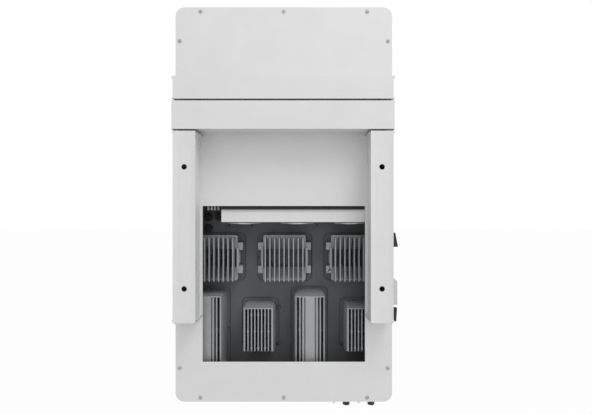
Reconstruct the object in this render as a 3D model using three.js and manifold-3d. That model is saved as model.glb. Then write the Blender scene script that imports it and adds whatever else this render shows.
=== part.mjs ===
// Outdoor DC combiner cabinet with fan-cooled converter stages, hung on a folded steel wall frame.
// Millimetres, +Z up. The origin is the centre of the lower beam's wall-side face.
// -Y looks at the wall, +Y is the door side, and the rotary isolators are on the +X side.
import * as THREE from 'three';
import { mergeVertices } from 'three/addons/utils/BufferGeometryUtils.js';
import Module from 'manifold-3d';

const wasm = await Module();
wasm.setup();

// ---------- driving dimensions ----------
const FIT = 0.3; // gap between pieces that touch
const OVERCUT = 1; // how far a cutter runs past the face that it cuts

const CABINET_WIDTH = 600;
const CABINET_HEIGHT = 1093;
const CABINET_TOP = 312.5; // above the lower beam's centre
const CABINET_CORNER = 25;
const COVER_SHEET = 2;
const CUTOUT_HEIGHT = 432;
const CUTOUT_MARGIN = 110.5; // cabinet's bottom edge to the cut-out

const FRAME_DEPTH = 75; // wall to the rear cover
const FRAME_SHEET = 2.5;
const FRAME_INSET = 8; // beam end to the cabinet's side
const LOWER_BEAM_HEIGHT = 78;
const UPPER_BEAM_HEIGHT = 63.5;
const BEAM_GAP = 1;
const RAIL_WIDTH = 67;
const RAIL_LENGTH = 508;
const RAIL_GAP = 1;
const BOLT_HOLE = 14.5;
const UPPER_BOLT_DROP = 96; // rail top to the upper bolt hole
const BOLT_SPACING = 319;

const DUCT_DEPTH = 110; // rear cover's face to the duct floor
const DUCT_WALL = 8;
const DUCT_FLANGE = 22;
const FLANGE_THICKNESS = 8;
const CHASSIS_INSET = 1.5;
const FLOOR_THICKNESS = 8;
const RECESS_DEPTH = 4;
const RECESS_CORNER = 15;
const EXHAUST_SLOTS = 9;
const EXHAUST_SLOT = { width: 36, depth: 60, pitch: 56 };

const SINK = {
  width: 124, height: 132, corner: 6, body: 45, fins: 9, finPitch: 13.3, fin: 3.2, finHeight: 44.5,
  lug: 15, lugHeight: 21.5, lugCentre: 34, sideGap: 15, drop: 151, sideFinHeight: 62, windowHeight: 51,
};

const POT = { halfBase: 47, halfTop: 42, round: 4, corner: 16, pitch: 146, skew: 0.3, foot: 24, dome: 8, tipGap: 20 };
const TALL_POT = {
  top: 183, bottom: -46, slots: [15, 24.3, 33.9], slotWidths: [3.5, 5, 7], slotDepths: [8, 24, 60],
};
const SHORT_POT = {
  top: 150, bottom: 14, slots: [4.8, 14.4, 24, 33.6], slotWidths: [6.4, 6.4, 6.4, 6.4], slotDepths: [60, 60, 60, 60],
};

const TRAY = { drop: 10, height: 35, sheet: 1.5, left: -174.5, right: 252, setBack: 8 };
const FAN = { size: 92, thickness: 25, bore: 88, collar: 94, collarDrop: 5.8, pitch: 154, skew: 38, hub: 34 };
const FAN_BLADES = 7;
const VENT = { sheet: 1.2, below: 9.7, above: 14, pitch: 8.5, hole: 6.4 };

const HOUSING_DEPTH = 130;
const HOUSING_INSET = 4;
const HOUSING_WALL = 2.5;
const HOUSING_LIP = 20;
const DOOR = { depth: 12, sheet: 2, seal: 12, gap: 0.7 };
const HINGE = { height: 80, pin: 2.5, knuckle: 5.5, leaf: 2.5, reach: 30, proud: 2, tab: 24, drop: 160 };
const LATCH = { knob: 14, shaft: 5, cam: 26, camWidth: 12, camThickness: 4, inset: 38, drop: 150 };

const ISOLATOR = { body: 56, depth: 48, shaft: 4, disc: 24, discHeight: 13, grip: 14, setBack: 31.7 };
const UPPER_HANDLE = { z: -342.5, length: 45.5, highReach: 51.9, lowReach: 43.4, thickEnd: -1 };
const LOWER_HANDLE = { z: -571, length: 44, highReach: 48.9, lowReach: 46.4, thickEnd: 1 };
const SIDE_COVER = { z: -497, height: 81, depth: 70, proud: 45, chamfer: 10, sheet: 2, setBack: 3.7 };

const GLAND = { body: 11.5, cap: 10, thread: 7, bodyLength: 16, capLength: 10, bore: 4 };
const DUCT_GLAND = { body: 11.8, cap: 8, bodyLength: 12, capLength: 12, bore: 4 };
const BOTTOM_ROW = { start: 141.8, pitch: 35.5, setBack: 45 };
const STUD = { radius: 3, nut: 5.5, nutHeight: 5, length: 22.5 };
const OUTPUT_GLAND = { body: 22, cap: 17, thread: 17, bodyLength: 22, capLength: 14, bore: 10 };

const PLATE = { halfWidth: 230, top: 200, bottom: -640, sheet: 2, standoff: 10, post: 6, postInset: 20 };
const DIN = { height: 35, web: 25, depth: 7.5, sheet: 1.2, left: -200, right: 0, z: -100 };
const FUSE = { width: 18, height: 78, depth: 60, pitch: 22, first: -160, count: 3, cheek: 1.5, pivot: 2 };
const ARRESTER = { width: 54, depth: 62, left: -60 };
const BUSBAR = { width: 20, thickness: 4, setBack: 10 };
const BOARD = { width: 140, height: 120, sheet: 1.6, post: 3, standoff: 10, x: 110, z: 20 };

// ---------- places worked out from them ----------
const halfWidth = CABINET_WIDTH / 2;
const cabinetBottom = CABINET_TOP - CABINET_HEIGHT;
const cutoutBottom = cabinetBottom + CUTOUT_MARGIN;
const cutoutTop = cutoutBottom + CUTOUT_HEIGHT;
const frameHalfWidth = halfWidth - FRAME_INSET;
const railInner = frameHalfWidth - RAIL_WIDTH;
const coverBack = FRAME_DEPTH + COVER_SHEET;
const ductFloor = FRAME_DEPTH + DUCT_DEPTH;
const recessFloor = ductFloor + RECESS_DEPTH;
const floorFront = ductFloor + FLOOR_THICKNESS;
const chassisHalf = halfWidth - CHASSIS_INSET;
const ductHalf = chassisHalf - DUCT_WALL;
const chassisBottom = cabinetBottom + CHASSIS_INSET;
const housingBack = floorFront + FIT;
const housingFront = housingBack + HOUSING_DEPTH;
const housingHalf = halfWidth - HOUSING_INSET;
const housingTop = CABINET_TOP - HOUSING_INSET;
const housingBottom = cabinetBottom + HOUSING_INSET;
const doorBack = housingFront + DOOR.gap;
const doorFront = doorBack + DOOR.depth;
const plateBack = floorFront + PLATE.standoff;
const railBack = plateBack + PLATE.sheet + FIT;
const deviceBack = railBack + DIN.depth + FIT;
const beamBottom = -LOWER_BEAM_HEIGHT / 2;
const railTop = beamBottom - RAIL_GAP;

const sinkHalf = SINK.width / 2 + SINK.lug;
const sinkPitch = ductHalf - sinkHalf - SINK.sideGap;
const sinkZ = cutoutTop - SINK.drop;
const sinkXs = [-1, 0, 1].map((side) => side * sinkPitch);
const potXs = [-1.5, -0.5, 0.5, 1.5].map((step) => POT.skew + step * POT.pitch);
const isolatorY = housingBack + ISOLATOR.setBack;
const trayTop = cutoutTop - TRAY.drop;
const trayBottom = trayTop - TRAY.height;
const trayBack = FRAME_DEPTH + TRAY.setBack;
const fanXs = [-1, 0, 1].map((step) => FAN.skew + step * FAN.pitch);
const fanY = trayBack + TRAY.sheet + FAN.size / 2 + 3;
const fanBase = trayBottom + TRAY.sheet + FIT;

// ---------- finishes ----------
const PAINT = { color: 0xd9d9d9, roughness: 0.45, metalness: 0 };
const CASTING = { color: 0x55575a, roughness: 0.6, metalness: 0.2 };
const FIN_CASTING = { color: 0x8b8d90, roughness: 0.5, metalness: 0.4 };
const ZINC = { color: 0xb9bcc0, roughness: 0.35, metalness: 0.9 };
const STEEL = { color: 0xc4c6c8, roughness: 0.3, metalness: 1 };
const COPPER = { color: 0xb87343, roughness: 0.35, metalness: 1 };
const BLACK = { color: 0x18191a, roughness: 0.5, metalness: 0 };
const RUBBER = { color: 0x222324, roughness: 0.85, metalness: 0 };
const GREY_PLASTIC = { color: 0xa9adb0, roughness: 0.5, metalness: 0 };
const LAMINATE = { color: 0x1f5a3a, roughness: 0.55, metalness: 0 };

// ---------- solids ----------
function toSolid(geometry) {
  const bare = geometry.clone();
  bare.deleteAttribute('normal');
  bare.deleteAttribute('uv');
  const merged = mergeVertices(bare);
  return new wasm.Manifold(new wasm.Mesh({
    numProp: 3,
    vertProperties: new Float32Array(merged.attributes.position.array),
    triVerts: new Uint32Array(merged.index.array),
  }));
}

function toGeometry(solid) {
  const { vertProperties, triVerts } = solid.getMesh();
  const geometry = new THREE.BufferGeometry();
  geometry.setAttribute('position', new THREE.BufferAttribute(vertProperties, 3));
  geometry.setIndex(new THREE.BufferAttribute(triVerts, 1));
  geometry.computeVertexNormals();
  return geometry;
}

function block(x0, x1, y0, y1, z0, z1) {
  const geometry = new THREE.BoxGeometry(x1 - x0, y1 - y0, z1 - z0);
  geometry.translate((x0 + x1) / 2, (y0 + y1) / 2, (z0 + z1) / 2);
  return toSolid(geometry);
}

// A round bar along one axis, from one station to another, with its centre on the other two.
function bar(axis, radius, from, to, u, v, sides = 16) {
  const geometry = new THREE.CylinderGeometry(radius, radius, to - from, sides);
  const middle = (from + to) / 2;
  if (axis === 'x') {
    geometry.rotateZ(-Math.PI / 2);
    geometry.translate(middle, u, v);
  } else if (axis === 'y') {
    geometry.translate(u, middle, v);
  } else {
    geometry.rotateX(Math.PI / 2);
    geometry.translate(u, v, middle);
  }
  return toSolid(geometry);
}

function roundedOutline(x0, x1, z0, z1, r) {
  const outline = new THREE.Shape();
  outline.moveTo(x0 + r, z0);
  outline.lineTo(x1 - r, z0);
  outline.absarc(x1 - r, z0 + r, r, -Math.PI / 2, 0);
  outline.lineTo(x1, z1 - r);
  outline.absarc(x1 - r, z1 - r, r, 0, Math.PI / 2);
  outline.lineTo(x0 + r, z1);
  outline.absarc(x0 + r, z1 - r, r, Math.PI / 2, Math.PI);
  outline.lineTo(x0, z0 + r);
  outline.absarc(x0 + r, z0 + r, r, Math.PI, Math.PI * 1.5);
  return outline;
}

function polygon(points) {
  return new THREE.Shape(points.map(([a, b]) => new THREE.Vector2(a, b)));
}

// An outline drawn in X and Z, as thick as y0 to y1.
function plateY(outline, y0, y1, curveSegments = 6) {
  const geometry = new THREE.ExtrudeGeometry(outline, { depth: y1 - y0, bevelEnabled: false, curveSegments });
  geometry.rotateX(Math.PI / 2);
  geometry.translate(0, y1, 0);
  return toSolid(geometry);
}

// An outline drawn in Y and Z, as long as x0 to x1.
function sweepX(outline, x0, x1, curveSegments = 6) {
  const geometry = new THREE.ExtrudeGeometry(outline, { depth: x1 - x0, bevelEnabled: false, curveSegments });
  const turn = new THREE.Matrix4().makeBasis(
    new THREE.Vector3(0, 1, 0),
    new THREE.Vector3(0, 0, 1),
    new THREE.Vector3(1, 0, 0),
  );
  geometry.applyMatrix4(turn);
  geometry.translate(x0, 0, 0);
  return toSolid(geometry);
}

// An outline drawn in X and Y, as high as z0 to z1.
function sweepZ(outline, z0, z1, curveSegments = 6) {
  const geometry = new THREE.ExtrudeGeometry(outline, { depth: z1 - z0, bevelEnabled: false, curveSegments });
  geometry.translate(0, 0, z0);
  return toSolid(geometry);
}

function join(first, ...rest) {
  return rest.reduce((whole, piece) => whole.add(piece), first);
}

function cut(first, ...cutters) {
  return cutters.reduce((whole, cutter) => whole.subtract(cutter), first);
}

const combiner = new THREE.Group();

function addPart(name, solid, finish, x = 0, y = 0, z = 0) {
  const mesh = new THREE.Mesh(toGeometry(solid), new THREE.MeshStandardMaterial(finish));
  mesh.name = name;
  mesh.position.set(x, y, z);
  combiner.add(mesh);
}

// ---------- wall frame ----------
// A folded pan: a face at the wall with four flanges that run back to the cabinet.
function foldedPan(x0, x1, z0, z1) {
  const back = FRAME_DEPTH - FIT;
  const t = FRAME_SHEET;
  const hollow = block(x0 + t, x1 - t, t, back + OVERCUT, z0 + t, z1 - t);
  return cut(block(x0, x1, 0, back, z0, z1), hollow);
}

function makeFrame() {
  const half = frameHalfWidth;
  const upperBottom = LOWER_BEAM_HEIGHT / 2 + BEAM_GAP;
  addPart('lower_beam', foldedPan(-half, half, beamBottom, -beamBottom), PAINT);
  addPart('upper_beam', foldedPan(-half, half, upperBottom, upperBottom + UPPER_BEAM_HEIGHT), PAINT);
  for (const [name, side] of [['left_rail', -1], ['right_rail', 1]]) {
    const edges = [side * railInner, side * half].sort((a, b) => a - b);
    const holeX = side * (half - RAIL_WIDTH / 2);
    const holes = [UPPER_BOLT_DROP, UPPER_BOLT_DROP + BOLT_SPACING].map((drop) => (
      bar('y', BOLT_HOLE / 2, -OVERCUT, FRAME_SHEET + OVERCUT, holeX, railTop - drop)
    ));
    addPart(name, cut(foldedPan(...edges, railTop - RAIL_LENGTH, railTop), ...holes), PAINT);
  }
}

// ---------- rear cover, chassis casting and duct ----------
function makeRearCover() {
  const outline = roundedOutline(-halfWidth, halfWidth, cabinetBottom, CABINET_TOP, CABINET_CORNER);
  const sheet = plateY(outline, FRAME_DEPTH, coverBack, 8);
  const opening = block(
    -railInner, railInner, FRAME_DEPTH - OVERCUT, coverBack + OVERCUT, cutoutBottom, cutoutTop,
  );
  addPart('rear_cover', cut(sheet, opening), PAINT);
}

function makeVentGrille() {
  const back = coverBack + FIT;
  const sheet = block(
    TRAY.left, railInner, back, back + VENT.sheet, cutoutTop - VENT.below, cutoutTop + VENT.above,
  );
  const count = Math.floor((railInner - TRAY.left) / VENT.pitch);
  const middle = (railInner + TRAY.left) / 2;
  const half = VENT.hole / 2;
  const z = cutoutTop - VENT.below / 2;
  const holes = Array.from({ length: count }, (_, index) => {
    const x = middle + (index - (count - 1) / 2) * VENT.pitch;
    return block(x - half, x + half, back - OVERCUT, back + VENT.sheet + OVERCUT, z - half, z + half);
  });
  addPart('vent_grille', cut(sheet, ...holes), PAINT);
}

function sinkRecess(x) {
  const half = sinkHalf + 4;
  const halfHeight = SINK.height / 2 + 5;
  const outline = roundedOutline(x - half, x + half, sinkZ - halfHeight, sinkZ + halfHeight, RECESS_CORNER);
  return plateY(outline, ductFloor - OVERCUT, recessFloor, 3);
}

function potRecess(x, pot) {
  const half = POT.halfBase + 8;
  const outline = roundedOutline(
    x - half, x + half, cutoutBottom + pot.bottom - 8, cutoutBottom + pot.top + 8, RECESS_CORNER,
  );
  return plateY(outline, ductFloor - OVERCUT, recessFloor, 3);
}

function chassisBlank(inset, y0, y1) {
  const outline = roundedOutline(
    -chassisHalf + inset, chassisHalf - inset,
    chassisBottom + inset, CABINET_TOP - CHASSIS_INSET - inset,
    Math.max(CABINET_CORNER - CHASSIS_INSET - inset, 3),
  );
  return plateY(outline, y0, y1, 4);
}

function platePosts(back, front, radius) {
  const x = PLATE.halfWidth - PLATE.postInset;
  const heights = [PLATE.top - PLATE.postInset, PLATE.bottom + PLATE.postInset];
  return heights.flatMap((z) => [-x, x].map((side) => bar('y', radius, back, front, side, z, 12)));
}

function makeChassis() {
  const rim = coverBack + FIT;
  const blank = chassisBlank(0, rim, floorFront);
  const mouth = chassisBlank(DUCT_FLANGE, rim - OVERCUT, rim + FLANGE_THICKNESS + OVERCUT);
  const duct = chassisBlank(DUCT_WALL, rim + FLANGE_THICKNESS, ductFloor);
  const slotY = (rim + FLANGE_THICKNESS + ductFloor) / 2;
  const exhaust = Array.from({ length: EXHAUST_SLOTS }, (_, index) => {
    const x = (index - (EXHAUST_SLOTS - 1) / 2) * EXHAUST_SLOT.pitch;
    return block(
      x - EXHAUST_SLOT.width / 2, x + EXHAUST_SLOT.width / 2,
      slotY - EXHAUST_SLOT.depth / 2, slotY + EXHAUST_SLOT.depth / 2,
      CABINET_TOP - CHASSIS_INSET - DUCT_WALL - OVERCUT, CABINET_TOP + OVERCUT,
    );
  });
  const bottomHoles = bottomRowXs().map((x, index) => {
    const radius = (index % 2 ? GLAND.thread : STUD.radius) + FIT;
    return bar('z', radius, chassisBottom - OVERCUT, chassisBottom + DUCT_WALL + OVERCUT,
      x, FRAME_DEPTH + BOTTOM_ROW.setBack, 16);
  });
  const casting = cut(
    blank, mouth, duct, ...exhaust, ...bottomHoles,
    ...sinkXs.map(sinkRecess), ...potXs.map((x, index) => potRecess(x, index % 2 ? SHORT_POT : TALL_POT)),
  );
  const posts = platePosts(floorFront - OVERCUT, plateBack - FIT, PLATE.post);
  addPart('chassis_casting', join(casting, ...posts), CASTING);
}

// ---------- heat sinks ----------
// The sink stands on the plane y = 0 and its fins point to -Y.
function heatSink() {
  const halfW = SINK.width / 2;
  const halfH = SINK.height / 2;
  const tips = SINK.body + SINK.finHeight;
  const body = plateY(roundedOutline(-halfW, halfW, -halfH, halfH, SINK.corner), -SINK.body, 0, 3);
  const window = block(
    -halfW + 4, halfW - 4, -SINK.body - OVERCUT, -SINK.body / 2, -SINK.windowHeight / 2, SINK.windowHeight / 2,
  );
  const fins = Array.from({ length: SINK.fins }, (_, index) => {
    const x = (index - (SINK.fins - 1) / 2) * SINK.finPitch;
    return block(x - SINK.fin / 2, x + SINK.fin / 2, -tips, -SINK.body / 2, -halfH + 3, halfH - 6);
  });
  const lugs = [-1, 1].flatMap((side) => [-1, 1].map((end) => {
    const edges = [side * (halfW - 2), side * (halfW + SINK.lug)].sort((a, b) => a - b);
    const z = end * SINK.lugCentre;
    return block(...edges, -SINK.body - 1, 0, z - SINK.lugHeight / 2, z + SINK.lugHeight / 2);
  }));
  const sideFins = [-1, 1].map((side) => {
    const edges = [side * (halfW - 1), side * (halfW + 5)].sort((a, b) => a - b);
    return block(...edges, -SINK.body - 14, 0, -SINK.sideFinHeight / 2, SINK.sideFinHeight / 2);
  });
  return join(cut(body, window), ...fins, ...lugs, ...sideFins);
}

function makeHeatSinks() {
  const names = ['heat_sink_left', 'heat_sink_centre', 'heat_sink_right'];
  names.forEach((name, index) => {
    addPart(name, heatSink(), FIN_CASTING, sinkXs[index], recessFloor - FIT, sinkZ);
  });
}

// ---------- choke pots ----------
// The pot stands on the plane y = 0, its top end is domed and rounded, and its slots open to -Y.
function chokePot(pot) {
  const depth = DUCT_DEPTH + RECESS_DEPTH - POT.tipGap - FIT;
  const { halfBase, halfTop, round, corner, dome, foot } = POT;
  const section = new THREE.Shape();
  section.moveTo(halfBase, 0);
  section.lineTo(-halfBase, 0);
  section.lineTo(-halfTop, -depth + round);
  section.absarc(-halfTop + round, -depth + round, round, Math.PI, Math.PI * 1.5);
  section.absarc(halfTop - round, -depth + round, round, -Math.PI / 2, 0);
  section.closePath();
  const side = new THREE.Shape();
  side.moveTo(0, pot.bottom);
  side.lineTo(0, pot.top);
  side.lineTo(-depth / 3, pot.top);
  side.absellipse(-depth / 3, pot.top - dome, depth * 2 / 3, dome, Math.PI / 2, Math.PI);
  side.lineTo(-depth, pot.bottom + 9);
  side.lineTo(-depth + foot, pot.bottom);
  side.closePath();
  const bodyAlongZ = sweepZ(section, pot.bottom - OVERCUT, pot.top + OVERCUT, 5);
  const bodyAlongX = sweepX(side, -halfBase - OVERCUT, halfBase + OVERCUT, 8);
  const plan = roundedOutline(-halfBase, halfBase, pot.bottom - corner - OVERCUT, pot.top, corner);
  const bodyAlongY = plateY(plan, -depth - OVERCUT, OVERCUT, 5);
  const slots = [-1, 1].flatMap((hand) => pot.slots.map((centre, index) => {
    const half = pot.slotWidths[index] / 2;
    const x = hand * centre;
    return block(
      x - half, x + half, -depth - OVERCUT, -depth + pot.slotDepths[index], pot.bottom - OVERCUT, pot.top - dome,
    );
  }));
  return cut(bodyAlongZ.intersect(bodyAlongX).intersect(bodyAlongY), ...slots);
}

function makeChokePots() {
  const names = ['choke_pot_tall_left', 'choke_pot_short_left', 'choke_pot_tall_right', 'choke_pot_short_right'];
  names.forEach((name, index) => {
    const pot = index % 2 ? SHORT_POT : TALL_POT;
    addPart(name, chokePot(pot), FIN_CASTING, potXs[index], recessFloor - FIT, cutoutBottom);
  });
}

// ---------- fan tray and fans ----------
function makeFanTray() {
  const { left, right, sheet } = TRAY;
  const front = ductFloor - FIT;
  const face = block(left, right, trayBack, trayBack + sheet, trayBottom, trayTop);
  const floor = block(left, right, trayBack, front, trayBottom, trayBottom + sheet);
  const ends = [left, right - sheet].map((x) => block(x, x + sheet, trayBack, front, trayBottom, trayTop));
  const holes = fanXs.map((x) => (
    bar('z', FAN.collar / 2 + FIT, trayBottom - OVERCUT, trayBottom + sheet + OVERCUT, x, fanY, 24)
  ));
  addPart('fan_tray', cut(join(face, floor, ...ends), ...holes), PAINT);
}

// The frame's underside is z = 0, with a collar below it and three struts to the hub at its top.
function fanFrame() {
  const half = FAN.size / 2;
  const bore = bar('z', FAN.bore / 2, -FAN.collarDrop - OVERCUT, FAN.thickness + OVERCUT, 0, 0, 24);
  const collar = bar('z', FAN.collar / 2, -FAN.collarDrop, 1, 0, 0, 24);
  const frame = cut(join(block(-half, half, -half, half, 0, FAN.thickness), collar), bore);
  const hubTop = bar('z', FAN.hub / 2, FAN.thickness - 3, FAN.thickness, 0, 0);
  const struts = [0, 1, 2].map((index) => {
    const strut = new THREE.BoxGeometry(FAN.bore / 2 + 1, 4, 3);
    strut.translate((FAN.bore / 2 + 1) / 2, 0, FAN.thickness - 1.5);
    strut.rotateZ((index * Math.PI * 2) / 3);
    return toSolid(strut);
  });
  const socket = bar('z', 1.5 + FIT, FAN.thickness - 3 - OVERCUT, FAN.thickness - 1, 0, 0, 8);
  return cut(join(frame, hubTop, ...struts), socket);
}

function fanRotor() {
  const top = FAN.thickness - 3 - FIT;
  const hub = bar('z', FAN.hub / 2 - 1, 1, top, 0, 0);
  const spindle = bar('z', 1.5, top - 1, FAN.thickness - 1 - FIT, 0, 0, 8);
  const inner = FAN.hub / 2 - 3;
  const outer = FAN.bore / 2 - 2.5;
  const blades = Array.from({ length: FAN_BLADES }, (_, index) => {
    const blade = new THREE.BoxGeometry(outer - inner, 22, 1.6);
    blade.rotateX(Math.PI * 0.22);
    blade.translate((outer + inner) / 2, 0, (1 + top) / 2);
    blade.rotateZ((index * Math.PI * 2) / FAN_BLADES);
    return toSolid(blade);
  });
  return join(hub, spindle, ...blades);
}

function makeFans() {
  ['left', 'centre', 'right'].forEach((place, index) => {
    addPart(`fan_frame_${place}`, fanFrame(), BLACK, fanXs[index], fanY, fanBase);
    addPart(`fan_rotor_${place}`, fanRotor(), BLACK, fanXs[index], fanY, fanBase);
  });
}

// ---------- glands and studs ----------
// A gland along +Y that points to -Y from the plane y = 0.
function glandTowardWall(size) {
  const tip = size.bodyLength + size.capLength;
  const body = bar('y', size.body, -size.bodyLength, 0, 0, 0, 12);
  const cap = bar('y', size.cap, -tip, -size.bodyLength + OVERCUT, 0, 0, 16);
  return cut(join(body, cap), bar('y', size.bore, -tip - OVERCUT, OVERCUT, 0, 0, 12));
}

// A gland that hangs from the plane z = 0, with a thread that reaches up through the wall.
function hangingGland(size, reach) {
  const tip = size.bodyLength + size.capLength;
  const body = bar('z', size.body, -size.bodyLength, 0, 0, 0, 6);
  const cap = bar('z', size.cap, -tip, -size.bodyLength + OVERCUT, 0, 0, 16);
  const thread = bar('z', size.thread, -OVERCUT, reach, 0, 0, 16);
  return cut(join(body, cap, thread), bar('z', size.bore, -tip - OVERCUT, reach + OVERCUT, 0, 0, 12));
}

function bottomRowXs() {
  return [0, 1, 2, 3].map((index) => BOTTOM_ROW.start + index * BOTTOM_ROW.pitch);
}

function makeDuctGlands() {
  const plateTop = cutoutTop - 12;
  const plateBottom = sinkZ + SINK.height / 2 + 6.5;
  const left = -railInner - 35;
  const right = TRAY.left - FIT;
  const front = ductFloor - FIT;
  const plate = block(left, right, front - 3, front, plateBottom, plateTop);
  addPart('duct_gland_plate', plate, BLACK);
  const x = -railInner - 1.5;
  const places = [[x, plateTop - 21.3], [x, plateBottom + 13], [x + 31.8, plateTop - 20.7]];
  places.forEach(([glandX, glandZ], index) => {
    addPart(`duct_gland_${index + 1}`, glandTowardWall(DUCT_GLAND), BLACK, glandX, front - 3 - FIT, glandZ);
  });
}

function makeBottomRow() {
  const y = FRAME_DEPTH + BOTTOM_ROW.setBack;
  const z = chassisBottom - FIT;
  const stud = join(
    bar('z', STUD.radius, -STUD.length, DUCT_WALL + 2, 0, 0, 12),
    bar('z', STUD.nut, -STUD.nutHeight, 0, 0, 0, 6),
  );
  const [studOne, glandOne, studTwo, glandTwo] = bottomRowXs();
  addPart('earth_stud_1', stud, STEEL, studOne, y, z);
  addPart('bottom_gland_1', hangingGland(GLAND, DUCT_WALL), BLACK, glandOne, y, z);
  addPart('earth_stud_2', stud, STEEL, studTwo, y, z);
  addPart('bottom_gland_2', hangingGland(GLAND, DUCT_WALL), BLACK, glandTwo, y, z);
}

// ---------- front housing ----------
function housingBlank(inset, y0, y1) {
  const outline = roundedOutline(
    -housingHalf + inset, housingHalf - inset,
    housingBottom + inset, housingTop - inset,
    Math.max(CABINET_CORNER - HOUSING_INSET - inset, 3),
  );
  return plateY(outline, y0, y1, 5);
}

const OUTPUT_XS = [130, 210];
const INPUT_PANEL = { left: -240, right: 60, back: 30, front: 105 };

function makeHousing() {
  const inner = housingBlank(HOUSING_WALL, housingBack - OVERCUT, housingFront - HOUSING_WALL);
  const mouth = housingBlank(HOUSING_WALL + HOUSING_LIP, housingBack, housingFront + OVERCUT);
  const shaftHoles = [UPPER_HANDLE, LOWER_HANDLE].map((handle) => (
    bar('x', ISOLATOR.shaft + FIT, housingHalf - 2 * HOUSING_WALL, housingHalf + OVERCUT, isolatorY, handle.z)
  ));
  const outputHoles = OUTPUT_XS.map((x) => (
    bar('z', OUTPUT_GLAND.thread + FIT, housingBottom - OVERCUT, housingBottom + 2 * HOUSING_WALL,
      x, housingBack + HOUSING_DEPTH / 2)
  ));
  const inputHole = block(
    INPUT_PANEL.left + 15, INPUT_PANEL.right - 15, housingBack + INPUT_PANEL.back + 12,
    housingBack + INPUT_PANEL.front - 12, housingBottom - OVERCUT, housingBottom + 2 * HOUSING_WALL,
  );
  const shell = cut(housingBlank(0, housingBack, housingFront), inner, mouth, ...shaftHoles, ...outputHoles, inputHole);
  addPart('front_housing', shell, PAINT);
}

function makeBottomConnectors() {
  const z = housingBottom - FIT;
  OUTPUT_XS.forEach((x, index) => {
    const gland = hangingGland(OUTPUT_GLAND, HOUSING_WALL + 4);
    addPart(`output_gland_${index + 1}`, gland, BLACK, x, housingBack + HOUSING_DEPTH / 2, z);
  });
  const { left, right, back, front } = INPUT_PANEL;
  const columns = 6;
  const columnPitch = (right - left - 40) / (columns - 1);
  const sockets = Array.from({ length: 2 * columns }, (_, index) => {
    const x = left + 20 + (index % columns) * columnPitch;
    const y = housingBack + (index < columns ? back + 19 : front - 19);
    return cut(
      bar('z', 9.5, z - 30, z - 1, x, y, 8),
      bar('z', 5, z - 30 - OVERCUT, z - 12, x, y, 6),
    );
  });
  const panel = block(left, right, housingBack + back, housingBack + front, z - 3, z);
  addPart('connector_panel', join(panel, ...sockets), BLACK);
}

// ---------- isolators and side cover ----------
// The handle's shaft lies along X, and x = 0 is the housing's outer side.
function isolatorHandle({ length, highReach, lowReach, thickEnd }) {
  const half = length / 2;
  const start = FIT;
  const disc = bar('x', ISOLATOR.disc, start, start + ISOLATOR.discHeight, 0, 0, 24);
  const wedge = polygon([
    [start + 2, thickEnd * half], [highReach, thickEnd * (half - 2)],
    [lowReach, -thickEnd * half], [start + 2, -thickEnd * half],
  ]);
  const grip = plateY(wedge, -ISOLATOR.grip / 2, ISOLATOR.grip / 2);
  const shaft = bar('x', ISOLATOR.shaft, -HOUSING_WALL - 20, start + 2, 0, 0, 12);
  return join(disc, grip, shaft);
}

function makeIsolators() {
  const inside = housingHalf - HOUSING_WALL - FIT;
  const half = ISOLATOR.body / 2;
  for (const [place, handle] of [['upper', UPPER_HANDLE], ['lower', LOWER_HANDLE]]) {
    addPart(`isolator_handle_${place}`, isolatorHandle(handle), BLACK, housingHalf, isolatorY, handle.z);
    const body = cut(
      block(-ISOLATOR.depth, 0, -half + 4, half - 4, -half, half),
      bar('x', ISOLATOR.shaft + FIT, -23, OVERCUT, 0, 0, 12),
    );
    addPart(`isolator_switch_${place}`, body, GREY_PLASTIC, inside, isolatorY, handle.z);
  }
}

function makeSideCover() {
  const { height, depth, proud, chamfer, sheet, setBack, z } = SIDE_COVER;
  const x0 = housingHalf + FIT;
  const x1 = x0 + proud;
  const y0 = housingBack + setBack;
  const top = z + height / 2;
  const bottom = z - height / 2;
  const outline = polygon([[x0, bottom], [x1, bottom], [x1, top - chamfer], [x1 - chamfer, top], [x0, top]]);
  const hollow = block(x0 - OVERCUT, x1 - chamfer, y0 + sheet, y0 + depth - sheet, bottom + sheet, top - sheet);
  addPart('side_cover', cut(plateY(outline, y0, y0 + depth), hollow), PAINT);
}

// ---------- door ----------
const hingeOffset = HINGE.knuckle + HINGE.leaf;
const hingeX = -housingHalf - hingeOffset;
const hingeY = doorFront + HINGE.proud;
const latchX = housingHalf - LATCH.inset;
const hingeZs = [['upper', housingTop - HINGE.drop], ['lower', housingBottom + HINGE.drop]];
const latchZs = [['upper', housingTop - LATCH.drop], ['lower', housingBottom + LATCH.drop]];

function makeDoor() {
  const inside = doorFront - DOOR.sheet;
  const shell = cut(housingBlank(0, doorBack, doorFront), housingBlank(DOOR.sheet, doorBack - OVERCUT, inside));
  const holes = latchZs.map(([, z]) => (
    bar('y', LATCH.shaft + FIT, inside - OVERCUT, doorFront + OVERCUT, latchX, z, 24)
  ));
  addPart('front_door', cut(shell, ...holes), PAINT);
  const sealOuter = HOUSING_WALL + 5;
  const gasket = cut(
    housingBlank(sealOuter, housingFront + FIT, inside - FIT),
    housingBlank(sealOuter + DOOR.seal, housingFront, inside),
  );
  addPart('door_gasket', gasket, RUBBER);
}

// Both leaves are drawn round their pin, which stands on x = 0, y = 0.
function knuckle(z0, z1) {
  return bar('z', HINGE.knuckle, z0, z1, 0, 0);
}

function pinBore() {
  return bar('z', HINGE.pin + FIT, -HINGE.height, HINGE.height, 0, 0, 12);
}

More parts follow.
